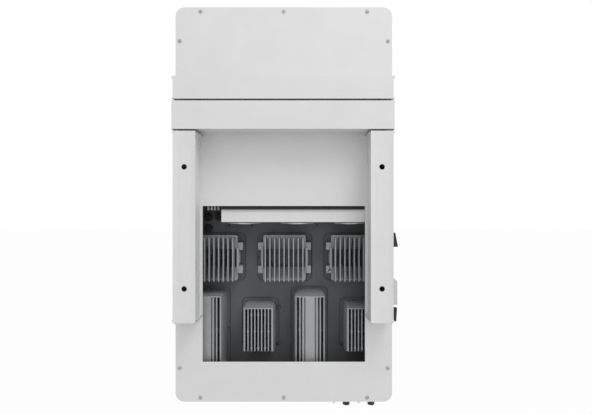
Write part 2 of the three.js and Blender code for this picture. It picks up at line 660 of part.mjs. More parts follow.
function fixedLeaf() {
  const half = HINGE.height / 2;
  const x0 = hingeOffset - FIT - HINGE.leaf;
  const x1 = hingeOffset - FIT;
  const plate = block(x0, x1, -48, -6, -half, half);
  const tabs = [[-half, -half + HINGE.tab], [half - HINGE.tab, half]].flatMap(([z0, z1]) => [
    block(x0, x1, -7, 1, z0, z1),
    knuckle(z0, z1),
  ]);
  return cut(join(plate, ...tabs), pinBore());
}

function doorLeaf() {
  const half = HINGE.height / 2 - HINGE.tab - 1;
  const y0 = -HINGE.proud + FIT;
  const plate = block(HINGE.knuckle - 1, hingeOffset + HINGE.reach, y0, y0 + HINGE.leaf, -half, half);
  return cut(join(plate, knuckle(-half, half)), pinBore());
}

function hingePin() {
  const half = HINGE.height / 2;
  return join(
    bar('z', HINGE.pin, -half - 2, half + 1, 0, 0, 12),
    bar('z', HINGE.pin + 2, half + FIT, half + 3, 0, 0, 12),
  );
}

function makeHinges() {
  for (const [place, z] of hingeZs) {
    addPart(`fixed_hinge_leaf_${place}`, fixedLeaf(), STEEL, hingeX, hingeY, z);
    addPart(`door_hinge_leaf_${place}`, doorLeaf(), STEEL, hingeX, hingeY, z);
    addPart(`hinge_pin_${place}`, hingePin(), STEEL, hingeX, hingeY, z);
  }
}

// The latch's shaft lies along Y, and y = 0 is the door's face. The cam stands upright when unlocked.
function doorLatch() {
  const camFront = housingFront - HOUSING_WALL - 3 - doorFront;
  const halfWidthOfCam = LATCH.camWidth / 2;
  const knob = cut(
    bar('y', LATCH.knob, FIT, 5, 0, 0, 24),
    block(-9, 9, 3, 5 + OVERCUT, -1.5, 1.5),
  );
  const shaft = bar('y', LATCH.shaft, camFront - LATCH.camThickness, FIT + 1, 0, 0, 24);
  const cam = block(
    -halfWidthOfCam, halfWidthOfCam, camFront - LATCH.camThickness, camFront, -halfWidthOfCam, LATCH.cam,
  );
  return join(knob, shaft, cam);
}

function makeLatches() {
  for (const [place, z] of latchZs) {
    addPart(`door_latch_${place}`, doorLatch(), ZINC, latchX, doorFront, z);
  }
}

// ---------- inside of the front housing ----------
function makeMountingPlate() {
  const front = plateBack + PLATE.sheet;
  const sheet = block(-PLATE.halfWidth, PLATE.halfWidth, plateBack, front, PLATE.bottom, PLATE.top);
  const xs = [BOARD.x - BOARD.width / 2 + 8, BOARD.x + BOARD.width / 2 - 8];
  const zs = [BOARD.z - BOARD.height / 2 + 8, BOARD.z + BOARD.height / 2 - 8];
  const posts = xs.flatMap((x) => zs.map((z) => (
    bar('y', BOARD.post, front - OVERCUT, front + BOARD.standoff - FIT, x, z, 12)
  )));
  addPart('mounting_plate', join(sheet, ...posts), ZINC);
}

function makeControlBoard() {
  const back = plateBack + PLATE.sheet + BOARD.standoff;
  const front = back + BOARD.sheet;
  const { x, z } = BOARD;
  const sheet = block(x - BOARD.width / 2, x + BOARD.width / 2, back, front, z - BOARD.height / 2, z + BOARD.height / 2);
  const connector = block(x - 55, x + 25, front - 0.5, front + 14, z + 38, z + 54);
  const relays = [-40, -10, 20].map((dx) => block(x + dx, x + dx + 20, front - 0.5, front + 16, z - 50, z - 22));
  const capacitors = [40, 56].map((dx) => bar('y', 6, front - 0.5, front + 22, x + dx, z, 12));
  addPart('control_board', join(sheet, connector, ...relays, ...capacitors), LAMINATE);
}

function makeDinRail() {
  const { web, height, depth, sheet, left, right, z } = DIN;
  const back = railBack;
  const front = back + depth;
  const outline = polygon([
    [front, z - height / 2], [front, z - web / 2], [back + sheet, z - web / 2], [back + sheet, z + web / 2],
    [front, z + web / 2], [front, z + height / 2], [front - sheet, z + height / 2],
    [front - sheet, z + web / 2 + sheet], [back, z + web / 2 + sheet], [back, z - web / 2 - sheet],
    [front - sheet, z - web / 2 - sheet], [front - sheet, z - height / 2],
  ]);
  addPart('din_rail', sweepX(outline, left, right), ZINC);
}

// The lever turns about x along the pivot, which is the origin of both drawings.
const pivotY = deviceBack + FUSE.depth - 13;
const pivotZ = DIN.z - 15;

function fuseHolder() {
  const half = FUSE.width / 2;
  const back = deviceBack - pivotY;
  const front = back + FUSE.depth;
  const middle = DIN.z - pivotZ;
  const slot = block(-half + FUSE.cheek, half - FUSE.cheek, -15, front + OVERCUT, -14, 37.5);
  const body = block(-half, half, back, front, middle - FUSE.height / 2, middle + FUSE.height / 2);
  return cut(body, slot, bar('x', FUSE.pivot + FIT, -half - OVERCUT, half + OVERCUT, 0, 0, 12));
}

function fuseLever() {
  const half = FUSE.width / 2 - FUSE.cheek - FIT;
  const grip = polygon([[-14, -3], [12, -3], [12, 24], [20, 27], [20, 31], [10, 33], [-14, 33]]);
  const body = sweepX(grip, -half, half);
  return join(body, bar('x', FUSE.pivot, -half - 1.2, half + 1.2, 0, 0, 12));
}

function makeFuses() {
  for (let index = 0; index < FUSE.count; index += 1) {
    const x = FUSE.first + index * FUSE.pitch;
    addPart(`fuse_holder_${index + 1}`, fuseHolder(), GREY_PLASTIC, x, pivotY, pivotZ);
    addPart(`fuse_lever_${index + 1}`, fuseLever(), BLACK, x, pivotY, pivotZ);
  }
}

function makeArresterAndBusbars() {
  const half = FUSE.height / 2;
  const { left, width, depth } = ARRESTER;
  const steps = polygon([
    [deviceBack, DIN.z - half], [deviceBack + depth - 16, DIN.z - half], [deviceBack + depth - 16, DIN.z - 22],
    [deviceBack + depth, DIN.z - 22], [deviceBack + depth, DIN.z + 22], [deviceBack + depth - 16, DIN.z + 22],
    [deviceBack + depth - 16, DIN.z + half], [deviceBack, DIN.z + half],
  ]);
  addPart('surge_arrester', sweepX(steps, left, left + width), GREY_PLASTIC);
  const start = FUSE.first - FUSE.width / 2 - 3;
  const end = left + width;
  const y = deviceBack + BUSBAR.setBack;
  const bars = [['busbar_positive', half + FIT], ['busbar_negative', -half - FIT - BUSBAR.thickness]];
  for (const [name, offset] of bars) {
    const z = DIN.z + offset;
    addPart(name, block(start, end, y, y + BUSBAR.width, z, z + BUSBAR.thickness), COPPER);
  }
}

makeFrame();
makeRearCover();
makeVentGrille();
makeChassis();
makeHeatSinks();
makeChokePots();
makeFanTray();
makeFans();
makeDuctGlands();
makeBottomRow();
makeHousing();
makeBottomConnectors();
makeIsolators();
makeSideCover();
makeDoor();
makeHinges();
makeLatches();
makeMountingPlate();
makeControlBoard();
makeDinRail();
makeFuses();
makeArresterAndBusbars();

export default combiner;
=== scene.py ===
"""Finished surfaces and fine parts of a wall-hung DC combiner cabinet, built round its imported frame."""
import logging
import math
from dataclasses import dataclass
from enum import Enum
from typing import Iterable, Optional, Sequence

import bmesh
import bpy
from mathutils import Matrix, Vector


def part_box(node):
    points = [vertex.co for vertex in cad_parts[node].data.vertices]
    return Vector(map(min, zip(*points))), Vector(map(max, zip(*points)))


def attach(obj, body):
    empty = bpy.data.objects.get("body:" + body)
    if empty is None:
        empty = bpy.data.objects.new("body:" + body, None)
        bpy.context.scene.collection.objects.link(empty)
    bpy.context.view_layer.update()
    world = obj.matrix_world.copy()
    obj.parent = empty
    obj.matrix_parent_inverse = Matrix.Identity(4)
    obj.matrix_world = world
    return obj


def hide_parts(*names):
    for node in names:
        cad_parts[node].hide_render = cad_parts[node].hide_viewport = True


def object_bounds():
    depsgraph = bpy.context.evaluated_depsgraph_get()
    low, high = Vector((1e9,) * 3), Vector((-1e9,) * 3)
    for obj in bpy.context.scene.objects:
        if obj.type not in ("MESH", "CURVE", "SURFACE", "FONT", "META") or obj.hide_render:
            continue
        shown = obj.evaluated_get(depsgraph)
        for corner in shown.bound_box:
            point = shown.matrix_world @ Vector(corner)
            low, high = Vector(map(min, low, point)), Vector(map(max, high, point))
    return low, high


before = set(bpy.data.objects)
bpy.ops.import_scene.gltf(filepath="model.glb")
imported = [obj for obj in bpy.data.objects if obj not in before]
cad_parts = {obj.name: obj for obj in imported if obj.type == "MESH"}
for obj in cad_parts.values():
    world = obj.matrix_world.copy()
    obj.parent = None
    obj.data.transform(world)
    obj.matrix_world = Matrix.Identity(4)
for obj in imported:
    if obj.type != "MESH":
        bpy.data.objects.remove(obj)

LOG = logging.getLogger("combiner")
MM = 0.001
CABINET = "cabinet"
START_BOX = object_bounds()

Point = tuple[float, float, float]


# ---------------------------------------------------------------- finishes
def linear(hex_code: str) -> tuple[float, float, float, float]:
    """Turns an sRGB hex colour into linear RGBA.

    Args:
        hex_code: six hex digits, such as "d9d9d8".

    Returns:
        The colour as four linear values.
    """
    channels = [int(hex_code[i:i + 2], 16) / 255 for i in (0, 2, 4)]
    values = [c / 12.92 if c <= 0.04045 else ((c + 0.055) / 1.055) ** 2.4 for c in channels]
    return (values[0], values[1], values[2], 1.0)


def per_mm(size: float) -> float:
    """Returns the texture scale whose features are this many millimetres across."""
    return 1.0 / (size * MM)


def add_node(tree: bpy.types.NodeTree, kind: str, links: Optional[dict] = None, **settings) -> bpy.types.Node:
    """Adds a shader node.

    Args:
        tree: the node tree that it goes into.
        kind: the node's Blender type name.
        links: input name or number to the output socket that feeds it.
        settings: input names, with _ for a space, or node properties, and their values.

    Returns:
        The new node.
    """
    node = tree.nodes.new(kind)
    for key, value in settings.items():
        socket = key.replace("_", " ")
        if hasattr(node, key):
            setattr(node, key, value)
        else:
            node.inputs[socket].default_value = value
    for key, output in (links or {}).items():
        tree.links.new(output, node.inputs[key])
    return node


class Texture(Enum):
    """How a surface is broken up."""

    ORANGE_PEEL = "orange peel of sprayed powder"
    CAST_GRIT = "grit of a die casting"
    SPARK = "spark-eroded mould skin"
    BRUSHED = "fine drawn lines"
    FOAM = "open cells"


@dataclass(frozen=True)
class Finish:
    """One material: what it is made of, its colour and how its surface was made."""

    name: str
    slot: str
    colour: str
    shade: str
    roughness: float
    metallic: float
    texture: Texture
    grain_mm: float
    relief_mm: float
    patch_mm: float = 90.0
    coat: float = 0.0

    def build(self) -> bpy.types.Material:
        """Builds the material, or returns it if it is there already."""
        if self.name in bpy.data.materials:
            return bpy.data.materials[self.name]
        material = bpy.data.materials.new(self.name)
        material.use_nodes = True
        tree = material.node_tree
        tree.nodes.clear()
        place = add_node(tree, "ShaderNodeTexCoord").outputs["Object"]
        grain_place = self._stretched(tree, place)
        grain = add_node(
            tree, "ShaderNodeTexNoise", {"Vector": grain_place}, Scale=per_mm(self.grain_mm), Detail=3.0, Roughness=0.6,
        )
        patches = add_node(tree, "ShaderNodeTexNoise", {"Vector": place}, Scale=per_mm(self.patch_mm), Detail=4.0)
        tint = add_node(tree, "ShaderNodeMix", {"Factor": self._blend(tree, patches, grain)}, data_type="RGBA")
        tint.inputs["A"].default_value = linear(self.colour)
        tint.inputs["B"].default_value = linear(self.shade)
        polish = add_node(
            tree, "ShaderNodeMapRange", {"Value": patches.outputs["Fac"]},
            From_Min=0.3, From_Max=0.7, To_Min=self.roughness - 0.05, To_Max=self.roughness + 0.07,
        )
        bump = add_node(
            tree, "ShaderNodeBump", {"Height": grain.outputs["Fac"]}, Strength=0.6, Distance=self.relief_mm * MM,
        )
        surface = add_node(
            tree, "ShaderNodeBsdfPrincipled",
            {"Base Color": tint.outputs["Result"], "Roughness": polish.outputs["Result"], "Normal": bump.outputs["Normal"]},
            Metallic=self.metallic, Coat_Weight=self.coat,
        )
        add_node(tree, "ShaderNodeOutputMaterial", {"Surface": surface.outputs["BSDF"]})
        return material

    def _stretched(self, tree: bpy.types.NodeTree, place: bpy.types.NodeSocket) -> bpy.types.NodeSocket:
        """Draws the grain out into lines for a brushed surface and leaves it as it is for the others."""
        if self.texture is not Texture.BRUSHED:
            return place
        mapping = add_node(tree, "ShaderNodeMapping", {"Vector": place})
        mapping.inputs["Scale"].default_value = (1.0, 1.0, 0.06)
        return mapping.outputs["Vector"]

    def _blend(
        self, tree: bpy.types.NodeTree, patches: bpy.types.Node, grain: bpy.types.Node
    ) -> bpy.types.NodeSocket:
        """Mixes the broad patches with the grain, strongly on castings and foam and faintly on paint."""
        share = {Texture.CAST_GRIT: 0.5, Texture.FOAM: 0.6, Texture.BRUSHED: 0.5}.get(self.texture, 0.25)
        mixed = add_node(
            tree, "ShaderNodeMix",
            {"A": patches.outputs["Fac"], "B": grain.outputs["Fac"]}, data_type="FLOAT", Factor=share,
        )
        spread = add_node(
            tree, "ShaderNodeMapRange", {"Value": mixed.outputs["Result"]}, From_Min=0.35, From_Max=0.65,
        )
        return spread.outputs["Result"]


# Polyester powder coat, sprayed and baked: an even light grey with a faint orange peel in its sheen.
PAINT = Finish("polyester_powder_coat", "paint", "dcdcdc", "d8d8d8", 0.42, 0.0, Texture.ORANGE_PEEL, 1.6, 0.05)
# Die-cast aluminium under dark paint: dull, gritty and slightly patchy. Its dark grey is partly painted shade, the
# shade of the deep cooling duct that the chassis floor lies in.
CASTING = Finish("dark_die_casting_with_painted_duct_shade", "casting", "6c6e70", "606264", 0.62, 0.0, Texture.CAST_GRIT, 1.1, 0.16)
# Blasted die-cast aluminium: a mid grey with a fine sparkle along its edges.
FINS = Finish("blasted_die_cast_aluminium", "fin_casting", "a4a6a8", "9c9ea0", 0.48, 0.25, Texture.CAST_GRIT, 0.9, 0.10)
# Zinc plate on steel: bright, slightly blue, with spangled patches.
ZINC = Finish("zinc_plated_steel", "zinc", "c3c7cc", "aeb3ba", 0.34, 1.0, Texture.CAST_GRIT, 2.2, 0.02, 12.0)
# Stainless steel, ground: fine upright lines.
STEEL = Finish("ground_stainless_steel", "steel", "c9cacb", "b4b6b8", 0.3, 1.0, Texture.BRUSHED, 0.5, 0.02, 20.0)
# Painted screw heads: the same powder coat over steel, a little darker where it is worn.
SCREW = Finish("coated_screw_steel", "steel", "c4c5c6", "96989a", 0.4, 0.3, Texture.SPARK, 0.6, 0.03, 6.0)
# Bare copper bar, drawn: warm and satin, with faint lines.
COPPER = Finish("drawn_copper", "copper", "c9805a", "b36b48", 0.3, 1.0, Texture.BRUSHED, 0.6, 0.02, 30.0)
# Glass-filled nylon, moulded black: matt with a fine skin.
BLACK = Finish("moulded_black_nylon", "black_plastic", "1b1c1d", "232425", 0.5, 0.0, Texture.SPARK, 0.5, 0.05, 30.0)
# Closed-cell foam rubber: soft black with open pores.
RUBBER = Finish("foam_rubber", "rubber", "202122", "2b2c2d", 0.9, 0.0, Texture.FOAM, 0.8, 0.3, 15.0)
# Grey polycarbonate, moulded: smooth with a low sheen.
GREY = Finish("moulded_grey_polycarbonate", "grey_plastic", "b4b8ba", "aaaeb0", 0.45, 0.0, Texture.SPARK, 0.6, 0.04, 40.0)
# Glass-epoxy board under green solder mask: satin with faint copper areas below.
BOARD = Finish("solder_mask_on_glass_epoxy", "laminate", "1f5e3c", "2f7a50", 0.4, 0.0, Texture.SPARK, 3.0, 0.03, 9.0, 0.3)


# ---------------------------------------------------------------- mesh making
def basis(axis: Vector) -> tuple[Vector, Vector]:
    """Returns two unit vectors square to an axis and to each other."""
    side = Vector((0, 0, 1)) if abs(axis.z) < 0.9 else Vector((1, 0, 0))
    u = axis.cross(side).normalized()
    return u, axis.cross(u).normalized()


class Maker:
    """A mesh in the making, in metres. Each call adds a closed solid to it."""

    def __init__(self) -> None:
        """Starts with an empty mesh."""
        self.bm = bmesh.new()

    def lathe(self, profile: Sequence[tuple[float, float]], at: Vector, axis: Point, sides: int = 24) -> "Maker":
        """Adds a turned solid.

        Args:
            profile: radius and height pairs in millimetres, from the axis at one end to the axis at the other.
            at: where height 0 lies.
            axis: the direction of height.
            sides: facets round the axis.

        Returns:
            This maker.
        """
        ahead = Vector(axis).normalized()
        u, v = basis(ahead)
        rings = []
        for radius, height in profile:
            middle = at + ahead * height * MM
            if radius <= 0:
                rings.append([self.bm.verts.new(middle)])
                continue
            angles = [2 * math.pi * i / sides for i in range(sides)]
            rings.append([
                self.bm.verts.new(middle + (u * math.cos(a) + v * math.sin(a)) * radius * MM) for a in angles
            ])
        for low, high in zip(rings, rings[1:]):
            self._skin(low, high)
        return self

    def _skin(self, low: list, high: list) -> None:
        """Joins two rings, or a ring and a tip, with faces."""
        count = max(len(low), len(high))
        for i in range(count):
            j = (i + 1) % count
            corners = [low[i % len(low)], low[j % len(low)], high[j % len(high)], high[i % len(high)]]
            unique = list(dict.fromkeys(corners))
            if len(unique) > 2:
                self.bm.faces.new(unique)

    def box(self, low: Iterable[float], high: Iterable[float]) -> "Maker":
        """Adds a block between two corners."""
        a, b = Vector(low), Vector(high)
        corners = [self.bm.verts.new((x, y, z)) for x in (a.x, b.x) for y in (a.y, b.y) for z in (a.z, b.z)]
        for face in ((0, 1, 3, 2), (4, 6, 7, 5), (0, 4, 5, 1), (2, 3, 7, 6), (0, 2, 6, 4), (1, 5, 7, 3)):
            self.bm.faces.new([corners[i] for i in face])
        return self

    def prism(self, outline: Sequence[Point], along: Point) -> "Maker":
        """Adds a solid whose flat outline is swept along a vector."""
        step = Vector(along)
        near = [self.bm.verts.new(p) for p in outline]
        far = [self.bm.verts.new(Vector(p) + step) for p in outline]
        self.bm.faces.new(near)
        self.bm.faces.new(list(reversed(far)))
        for i in range(len(near)):
            j = (i + 1) % len(near)
            self.bm.faces.new([near[i], near[j], far[j], far[i]])
        return self

    def tube(self, path: Sequence[Vector], radius: float, sides: int = 8, closed: bool = False) -> "Maker":
        """Adds a round bar along a path, with its radius in millimetres."""
        count = len(path)
        rings = []
        u = None
        for i, point in enumerate(path):
            before = path[i - 1] if i or closed else path[0]
            after = path[(i + 1) % count] if i + 1 < count or closed else path[-1]
            ahead = (after - before).normalized()
            u = basis(ahead)[0] if u is None else (u - ahead * u.dot(ahead)).normalized()
            v = ahead.cross(u)
            angles = [2 * math.pi * k / sides for k in range(sides)]
            rings.append([
                self.bm.verts.new(point + (u * math.cos(a) + v * math.sin(a)) * radius * MM) for a in angles
            ])
        for low, high in zip(rings, rings[1:] + rings[:1] if closed else rings[1:]):
            self._skin(low, high)
        if not closed:
            self.bm.faces.new(rings[0])
            self.bm.faces.new(list(reversed(rings[-1])))
        return self

    def sheet(self, loops: Sequence[Sequence[Point]]) -> "Maker":
        """Adds a flat sheet with the first loop as its edge and the others as holes."""
        edges = []
        for loop in loops:
            verts = [self.bm.verts.new(p) for p in loop]
            edges += [self.bm.edges.new((verts[i - 1], verts[i])) for i in range(len(verts))]
        bmesh.ops.triangle_fill(self.bm, use_beauty=True, use_dissolve=False, edges=edges)
        return self

    def place(
        self, name: str, finish: Finish, body: str = CABINET, *, sheet_mm: float = 0.0, out: Point = (0, -1, 0),
        bevel_mm: float = 0.0, stands_for: Sequence[str] = (), smooth: float = 35.0,
    ) -> bpy.types.Object:
        """Turns the mesh into a finished piece that rides on a body.

        Args:
            name: the piece's name.
            finish: its material.
            body: the body that it moves with.
            sheet_mm: a thickness for an open sheet, laid on the side away from out.
            out: the direction that an open sheet's outer side faces.
            bevel_mm: the radius put on its edges.
            stands_for: the CAD nodes that it replaces.
            smooth: edges sharper than this many degrees stay crisp.

        Returns:
            The new object.
        """
        bmesh.ops.recalc_face_normals(self.bm, faces=self.bm.faces)
        if sheet_mm:
            broad = max(self.bm.faces, key=lambda face: face.calc_area() * abs(face.normal.dot(Vector(out))))
            if broad.normal.dot(Vector(out)) < 0:
                bmesh.ops.reverse_faces(self.bm, faces=self.bm.faces)
        mesh = bpy.data.meshes.new(name)
        self.bm.to_mesh(mesh)
        self.bm.free()
        piece = bpy.data.objects.new(name, mesh)
        bpy.context.scene.collection.objects.link(piece)
        if sheet_mm:
            skin = piece.modifiers.new("sheet", "SOLIDIFY")
            skin.thickness = sheet_mm * MM
            skin.offset = -1
        if bevel_mm:
            add_bevel(piece, bevel_mm, "ANGLE")
        dress(piece, finish, smooth)
        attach(piece, body)
        if stands_for:
            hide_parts(*stands_for)
        LOG.info("%s: %d faces, %s", name, len(mesh.polygons), finish.name)
        return piece


def add_bevel(piece: bpy.types.Object, width_mm: float, limit: str) -> None:
    """Rounds a piece's edges, chosen by their angle or by their bevel weight."""
    bevel = piece.modifiers.new("rounding", "BEVEL")
    bevel.width = width_mm * MM
    bevel.segments = 3 if width_mm > 0.7 else 2
    bevel.limit_method = limit
    bevel.angle_limit = math.radians(35)
    bevel.use_clamp_overlap = limit == "ANGLE"


def dress(piece: bpy.types.Object, finish: Finish, smooth: float = 35.0) -> None:
    """Gives a piece its material and smooth shading with crisp edges."""
    mesh = piece.data
    mesh.materials.clear()
    mesh.materials.append(finish.build())
    mesh.shade_smooth()
    mesh.set_sharp_from_angle(angle=math.radians(smooth))
    normals = piece.modifiers.new("normals", "WEIGHTED_NORMAL")
    normals.keep_sharp = True


def soften(
    node: str, name: str, finish: Finish, body: str = CABINET, radius_mm: float = 1.0, reach: float = 2.4,
) -> bpy.types.Object:
    """Makes a finished copy of a CAD node with rounded edges, which stands for it.

    Args:
        node: the CAD node.
        name: the new piece's name.
        finish: its material.
        body: the body that it moves with.
        radius_mm: the radius on its edges.
        reach: edges shorter than this many radii stay crisp.

    Returns:
        The new object.
    """
    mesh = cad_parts[node].data.copy()
    bm = bmesh.new()
    bm.from_mesh(mesh)
    bmesh.ops.remove_doubles(bm, verts=bm.verts, dist=0.01 * MM)
    bmesh.ops.dissolve_limit(bm, angle_limit=math.radians(0.6), verts=bm.verts, edges=bm.edges)
    weight = bm.edges.layers.float.new("bevel_weight_edge")
    for edge in bm.edges:
        turned = len(edge.link_faces) == 2 and edge.calc_face_angle(0.0) > math.radians(33)
        if turned and edge.calc_length() > reach * radius_mm * MM:
            edge[weight] = 1.0
    bm.to_mesh(mesh)
    bm.free()
    mesh.name = name
    piece = bpy.data.objects.new(name, mesh)
    bpy.context.scene.collection.objects.link(piece)
    add_bevel(piece, radius_mm, "WEIGHT")
    dress(piece, finish)
    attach(piece, body)
    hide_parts(node)
    LOG.info("%s stands for %s, edges rounded to %.1f mm", name, node, radius_mm)
    return piece


def arc(x: float, z: float, radius: float, start: float, end: float, steps: int) -> list[tuple[float, float]]:
    """Returns points on an arc, with its angles in degrees and its sizes in metres."""
    angles = [math.radians(start + (end - start) * i / steps) for i in range(steps + 1)]
    return [(x + radius * math.cos(a), z + radius * math.sin(a)) for a in angles]


def rounded_loop(x0: float, x1: float, z0: float, z1: float, radius: float, y: float, steps: int = 10) -> list[Point]:
    """Returns a rectangle with round corners, drawn in X and Z at one depth."""
    corners = (
        arc(x1 - radius, z0 + radius, radius, -90, 0, steps) + arc(x1 - radius, z1 - radius, radius, 0, 90, steps)
        + arc(x0 + radius, z1 - radius, radius, 90, 180, steps) + arc(x0 + radius, z0 + radius, radius, 180, 270, steps)
    )
    return [(x, y, z) for x, z in corners]


def round_loop(x: float, z: float, radius: float, y: float, sides: int = 20) -> list[Point]:
    """Returns a circle drawn in X and Z at one depth."""
    return [(px, y, pz) for px, pz in arc(x, z, radius, 0, 360 * (sides - 1) / sides, sides - 1)]


# ---------------------------------------------------------------- fasteners
@dataclass(frozen=True)
class PanHead:
    """A pan-head screw's head with a socket, on a thin washer."""

    radius: float = 4.6
    height: float = 2.6
    socket: float = 1.6
    washer: float = 5.6

    def add(self, maker: Maker, at: Vector, out: Point) -> None:
        """Adds the head and its washer to a mesh, standing out from a surface."""
        r, h, s = self.radius, self.height, self.socket
        maker.lathe(
            [(0, 0.6), (r, 0.6), (r, 1.1), (r * 0.93, h * 0.75), (r * 0.7, h), (s, h), (s * 0.85, h - 1.5), (0, h - 1.5)],
            at, out,
        )
        maker.lathe([(0, 0), (self.washer, 0), (self.washer, 0.45), (self.washer - 0.2, 0.6), (0, 0.6)], at, out)


# ---------------------------------------------------------------- wall frame
@dataclass
class WallFrame:
    """Four folded sheet-steel pans that carry the cabinet: two beams and two rails."""

    sheet: float = 2.5
    bend: float = 3.6
    tight: float = 1.6
    square: float = 0.6
    relief: float = 1.2
    seam: float = 0.35
    bend_steps: int = 6
    bolt_hole: float = 7.25
    bolt_height: Sequence[float] = (-136.0, -455.0)

    def build(self) -> None:
        """Builds the beams, the rails and their fixing screws."""
        bend, tight, square = self.bend, self.tight, self.square
        self._pan("upper_beam", [], (tight, bend, tight, bend))
        self._pan("lower_beam", [], (tight, square, tight, square))
        for node in ("left_rail", "right_rail"):
            low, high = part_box(node)
            middle = (low.x + high.x) / 2
            self._pan(node, [(middle, z * MM) for z in self.bolt_height], (bend, bend, tight, bend))
        self._side_screws()

    def _pan(self, node: str, holes: Sequence[tuple[float, float]], bends: Sequence[float]) -> None:
        """Folds one pan: a face with round holes and four flanges that turn back on their bend radii.

        Args:
            node: the solid that the pan stands for.
            holes: x and z of each bolt hole, in metres.
            bends: the bend radius of the bottom, right, top and left flange, in millimetres.
        """
        low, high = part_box(node)
        y0, y1 = low.y, high.y
        below, right, above, left = (r * MM for r in bends)
        x0, x1, z0, z1 = low.x + left, high.x - right, low.z + below, high.z - above
        maker = Maker()
        face = [(x0, y0, z0), (x1, y0, z0), (x1, y0, z1), (x0, y0, z1)]
        maker.sheet([face] + [round_loop(x, z, self.bolt_hole * MM, y0, 28) for x, z in holes])
        for i in range(4):
            reach = [(bends[i - 1] - self.seam) * MM, (bends[(i + 1) % 4] - self.seam) * MM]
            self._flange(maker, Vector(face[i]), Vector(face[(i + 1) % 4]), y1, bends[i] * MM, reach)
        bmesh.ops.remove_doubles(maker.bm, verts=maker.bm.verts, dist=0.01 * MM)
        maker.place(f"{node}_pan", PAINT, sheet_mm=self.sheet, stands_for=[node])

    def _flange(
        self, maker: Maker, start: Vector, end: Vector, back: float, r: float, reach: Sequence[float],
    ) -> None:
        """Adds one bend and its flange along a face edge, with a relief notch at each end."""
        along = (end - start).normalized()
        outward = along.cross(Vector((0, 1, 0))).normalized()
        rows = []
        for step in range(self.bend_steps + 1):
            turn = math.pi / 2 * step / self.bend_steps
            offset = outward * (r * math.sin(turn)) + Vector((0, r * (1 - math.cos(turn)), 0))
            rows.append([maker.bm.verts.new(p + offset) for p in (start, end)])
        for low, high in zip(rows, rows[1:]):
            maker.bm.faces.new([low[0], low[1], high[1], high[0]])
        first, last = along * reach[0], along * reach[1]
        shoulder = Vector((0, self.relief * MM, 0))
        lower = [rows[-1][0].co.copy(), rows[-1][1].co.copy()]
        notch = [
            rows[-1][0],
            rows[-1][1],
            maker.bm.verts.new(lower[1] + shoulder),
            maker.bm.verts.new(lower[1] + shoulder + last),
            maker.bm.verts.new(Vector((lower[1].x, back, lower[1].z)) + last),
            maker.bm.verts.new(Vector((lower[0].x, back, lower[0].z)) - first),
            maker.bm.verts.new(lower[0] + shoulder - first),
            maker.bm.verts.new(lower[0] + shoulder),
        ]
        maker.bm.faces.new(notch)

    def _side_screws(self) -> None:
        """Adds the small screws that fix the frame's side flanges."""
        maker = Maker()
        for node in ("upper_beam", "lower_beam"):
            low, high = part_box(node)
            z = (low.z + high.z) / 2
            for x, out in ((low.x, -1), (high.x, 1)):
                PanHead(3.4, 1.9, 1.2, 4.0).add(maker, Vector((x, 0.55 * high.y, z + 9 * MM)), (out, 0, 0))
        maker.place("frame_side_screws", SCREW)


# ---------------------------------------------------------------- rear cover
@dataclass
class RearCover:
    """The cover sheet with its cooling cut-out, its perimeter screws and the vent grille behind it."""

    sheet: float = 2.0
    corner: float = 25.0
    screw_in: float = 11.8
    top_screws: Sequence[float] = (-231.0, 0.0, 231.0)
    side_drop: float = 93.8
    vent_pitch: float = 8.5
    vent_hole: float = 3.35

    def build(self) -> None:
        """Builds the sheet, the grille and the ten screws."""
        self._sheet()
        self._grille()
        self._screws()

    def _sheet(self) -> None:
        """Cuts the cover sheet from one outline with the cooling opening in it."""
        low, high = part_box("rear_cover")
        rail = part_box("left_rail")[1].x
        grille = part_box("vent_grille")
        cutout_top = grille[1].z - 14 * MM
        cutout_bottom = low.z + 110.5 * MM
        outline = rounded_loop(low.x, high.x, low.z, high.z, self.corner * MM, low.y, 14)
        opening = rounded_loop(rail, -rail, cutout_bottom, cutout_top, 1.5 * MM, low.y, 4)
        Maker().sheet([outline, opening]).place(
            "rear_cover_sheet", PAINT, sheet_mm=self.sheet, bevel_mm=0.5, stands_for=["rear_cover"],
        )

    def _grille(self) -> None:
        """Punches the grille with rows of round holes. The black of the grille and of the foam sheet behind it is
        painted shade, dark where the grille lies in the duct's shade.
        """
        low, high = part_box("vent_grille")
        pitch, radius = self.vent_pitch * MM, self.vent_hole * MM
        count = int((high.x - low.x) / pitch)
        xs = [((low.x + high.x) / 2) + (i - (count - 1) / 2) * pitch for i in range(count)]
        rows = [low.z + 4.8 * MM, low.z + 4.8 * MM + pitch]
        loops = [[(low.x, low.y, low.z), (high.x, low.y, low.z), (high.x, low.y, high.z), (low.x, low.y, high.z)]]
        loops += [round_loop(x, z, radius, low.y, 12) for z in rows for x in xs]
        # The grille is black as painted shade, standing for the shade that falls over it.
        Maker().sheet(loops).place(
            "vent_grille_punched", BLACK, sheet_mm=1.1, stands_for=["vent_grille"],
        )
        # A black foam sheet behind the holes: painted shade that keeps them dark.
        gap, thickness = 0.3 * MM, 3 * MM
        Maker().box((low.x, high.y + gap, low.z), (high.x, high.y + gap + thickness, high.z)).place(
            "vent_painted_shade_backing", RUBBER, bevel_mm=0.4,
        )

    def _screws(self) -> None:
        """Sets ten pan heads round the cover's edge."""
        low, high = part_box("rear_cover")
        maker = Maker()
        inset = self.screw_in * MM
        places = [(x * MM, z) for x in self.top_screws for z in (low.z + inset, high.z - inset)]
        drop = self.side_drop * MM
        places += [(x, z) for x in (low.x + inset, high.x - inset) for z in (low.z + drop, high.z - drop)]
        for x, z in places:
            PanHead().add(maker, Vector((x, low.y, z)), (0, -1, 0))
        maker.place("cover_screws", SCREW)


